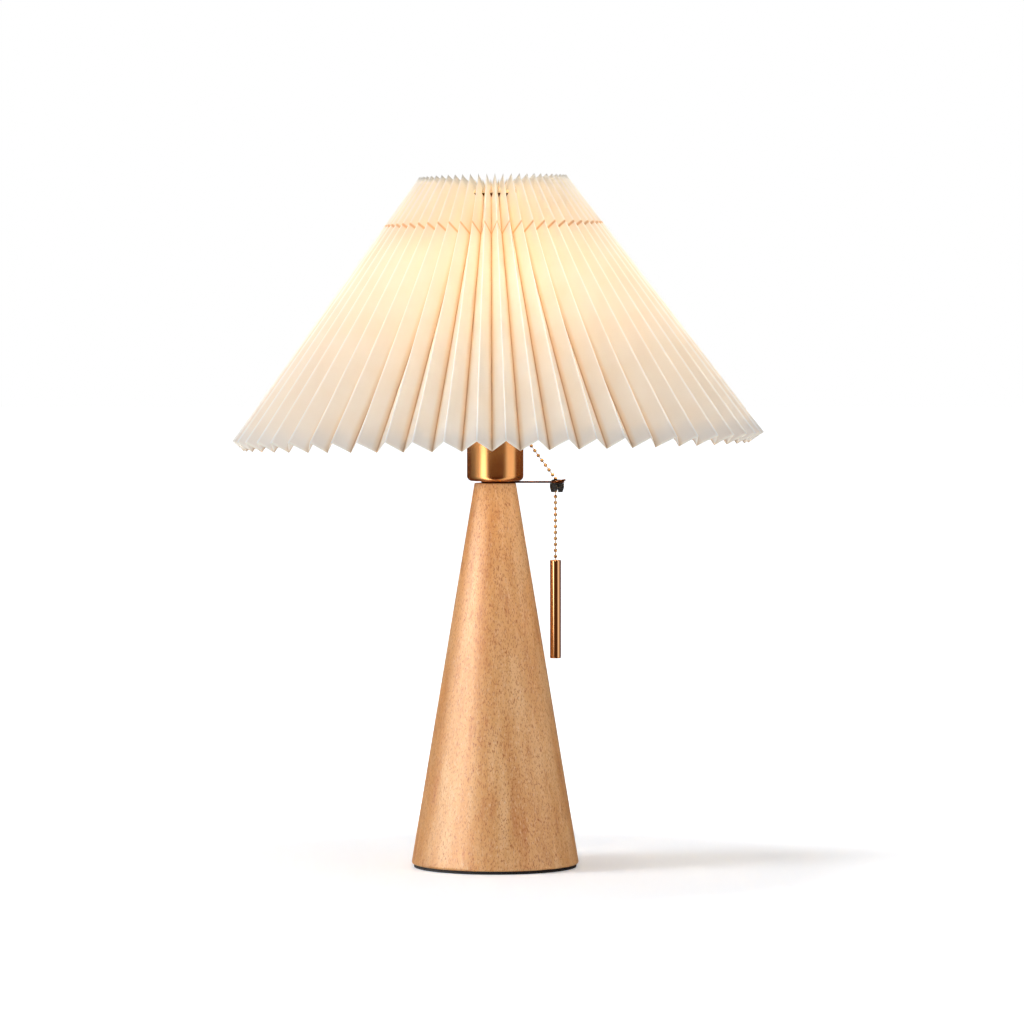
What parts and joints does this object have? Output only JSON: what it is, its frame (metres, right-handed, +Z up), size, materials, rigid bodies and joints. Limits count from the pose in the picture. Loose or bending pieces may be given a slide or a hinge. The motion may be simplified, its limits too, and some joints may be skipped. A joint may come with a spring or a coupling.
{
  "type": "pleated paper table lamp",
  "caption": "Table lamp with a pleated conical paper shade on a turned wooden cone, a brass lampholder and a ball-chain pull switch with a hanging bar.",
  "frame": {"origin": "centre of the base's underside", "axes": "+Z up along the cone's axis, +X towards the pull chain, -Y towards the viewer of the picture"},
  "size_m": [0.3666, 0.3666, 0.476],
  "materials": {
    "beech": "clear satin lacquer over beech",
    "black_pad": "matt foam pad",
    "iron": "rough cast",
    "zinc_steel": "zinc plated",
    "satin_brass": "brushed, lacquered",
    "raw_brass": "bright",
    "bronze_wire": "dark bronze",
    "black_rubber": "moulded",
    "chain_gold": "antique gold plated",
    "bar_copper": "polished, copper toned",
    "ceramic_white": "unglazed",
    "black_phenolic": "moulded",
    "liner_card": "insulating board",
    "frosted_glass": "frosted, lit",
    "cap_metal": "bright",
    "shade_paper": "pleated, translucent",
    "white_wire": "white enamel",
    "spring_steel": "plain"
  },
  "bodies": {
    "base": {"base_pad": "black_pad", "cone_body": "beech", "base_weight": "iron", "weight_screws": "zinc_steel", "cord_outlet_bush": "black_phenolic", "threaded_tube": "zinc_steel", "bottom_washer": "zinc_steel", "bottom_nut": "zinc_steel", "spacer_washer": "raw_brass", "cap_nut": "zinc_steel", "chain_guide_arm": "bronze_wire", "guide_grommet": "black_rubber", "holder_cap": "satin_brass", "holder_liner": "liner_card", "holder_shell": "satin_brass", "socket_insulator": "ceramic_white", "socket_shell": "raw_brass", "centre_contact": "raw_brass", "side_contact": "raw_brass", "terminal_screws": "raw_brass", "switch_housing": "black_phenolic", "return_spring": "spring_steel", "contact_strips": "raw_brass", "lever_pin": "zinc_steel", "chain_mouth": "satin_brass", "mouth_nut": "raw_brass", "support_ring": "satin_brass", "shade_nut": "satin_brass"},
    "shade": {"shade_paper": "shade_paper", "shade_hem": "shade_paper", "shade_ring": "bronze_wire", "shade_spokes": "bronze_wire", "shade_carrier": "white_wire"},
    "bulb_end": {"bulb_contact": "black_phenolic"},
    "bulb": {"bulb_glass": "frosted_glass", "bulb_cap": "cap_metal"},
    "lever": {"pull_lever": "zinc_steel"},
    "drum": {"switch_drum": "black_phenolic"},
    "chain_in_holder": {"inner_chain": "chain_gold"},
    "chain_to_eye": {"diagonal_chain": "chain_gold"},
    "chain_in_eye": {"guided_chain": "chain_gold"},
    "chain_top": {"upper_chain": "chain_gold"},
    "chain_middle": {"middle_chain": "chain_gold"},
    "chain_bottom": {"lower_chain": "chain_gold"},
    "bar_bead": {"bar_bead": "chain_gold"},
    "bar": {"pull_bar": "bar_copper", "bar_bush": "bar_copper"}
  },
  "joints": [
    {"name": "chain_pull", "type": "slide", "parent": "base", "child": "chain_in_eye", "axis": [0, 0, -1], "range_m": [0, 0.005], "stiffness_N_per_m": 400, "springref_m": -0.003},
    {"name": "chain_to_eye_slide", "type": "slide", "parent": "base", "child": "chain_to_eye", "axis": [0.5934, 0, -0.8049], "range_m": [0, 0.0051]},
    {"name": "chain_in_holder_slide", "type": "slide", "parent": "base", "child": "chain_in_holder", "axis": [1, 0, 0], "range_m": [0, 0.0051]},
    {"name": "lever_turn", "type": "hinge", "parent": "base", "child": "lever", "pos_m": [0.0013, 0, 0.2875], "axis": [0, 1, 0], "range_deg": [0, 32.13]},
    {"name": "drum_turn", "type": "hinge", "parent": "base", "child": "drum", "pos_m": [0.0013, 0, 0.2875], "axis": [0, 1, 0], "continuous": true},
    {"name": "chain_side_swing", "type": "hinge", "parent": "chain_in_eye", "child": "chain_top", "pos_m": [0.0416, 0, 0.25896], "axis": [0, -1, 0], "range_deg": [-0.6, 25]},
    {"name": "chain_front_swing", "type": "hinge", "parent": "chain_top", "child": "chain_middle", "pos_m": [0.0416, 0, 0.24248], "axis": [1, 0, 0], "range_deg": [-25, 25]},
    {"name": "chain_lower_swing", "type": "hinge", "parent": "chain_middle", "child": "chain_bottom", "pos_m": [0.0416, 0, 0.226], "axis": [0, -1, 0], "range_deg": [-0.5, 25]},
    {"name": "bar_front_tilt", "type": "hinge", "parent": "chain_bottom", "child": "bar_bead", "pos_m": [0.0416, 0, 0.21364], "axis": [1, 0, 0], "range_deg": [-25, 25]},
    {"name": "bar_side_tilt", "type": "hinge", "parent": "bar_bead", "child": "bar", "pos_m": [0.0416, 0, 0.20952], "axis": [0, -1, 0], "range_deg": [-0.5, 20]},
    {"name": "bulb_lift", "type": "slide", "parent": "base", "child": "bulb_end", "axis": [0, 0, 1], "range_m": [0, 0.02006]},
    {"name": "bulb_turn", "type": "hinge", "parent": "bulb_end", "child": "bulb", "pos_m": [0, 0, 0.34], "axis": [0, 0, 1], "range_deg": [0, 1980]},
    {"name": "shade_turn", "type": "hinge", "parent": "base", "child": "shade", "pos_m": [0, 0, 0.33], "axis": [0, 0, 1], "continuous": true}
  ],
  "couplings": [
    {"joint": "chain_to_eye_slide", "follows": "chain_pull", "ratio": 1},
    {"joint": "chain_in_holder_slide", "follows": "chain_pull", "ratio": 1},
    {"joint": "lever_turn", "follows": "chain_pull", "rad_per_m": 111.11},
    {"joint": "bulb_lift", "follows": "bulb_turn", "m_per_rad": 0.00057757}
  ]
}
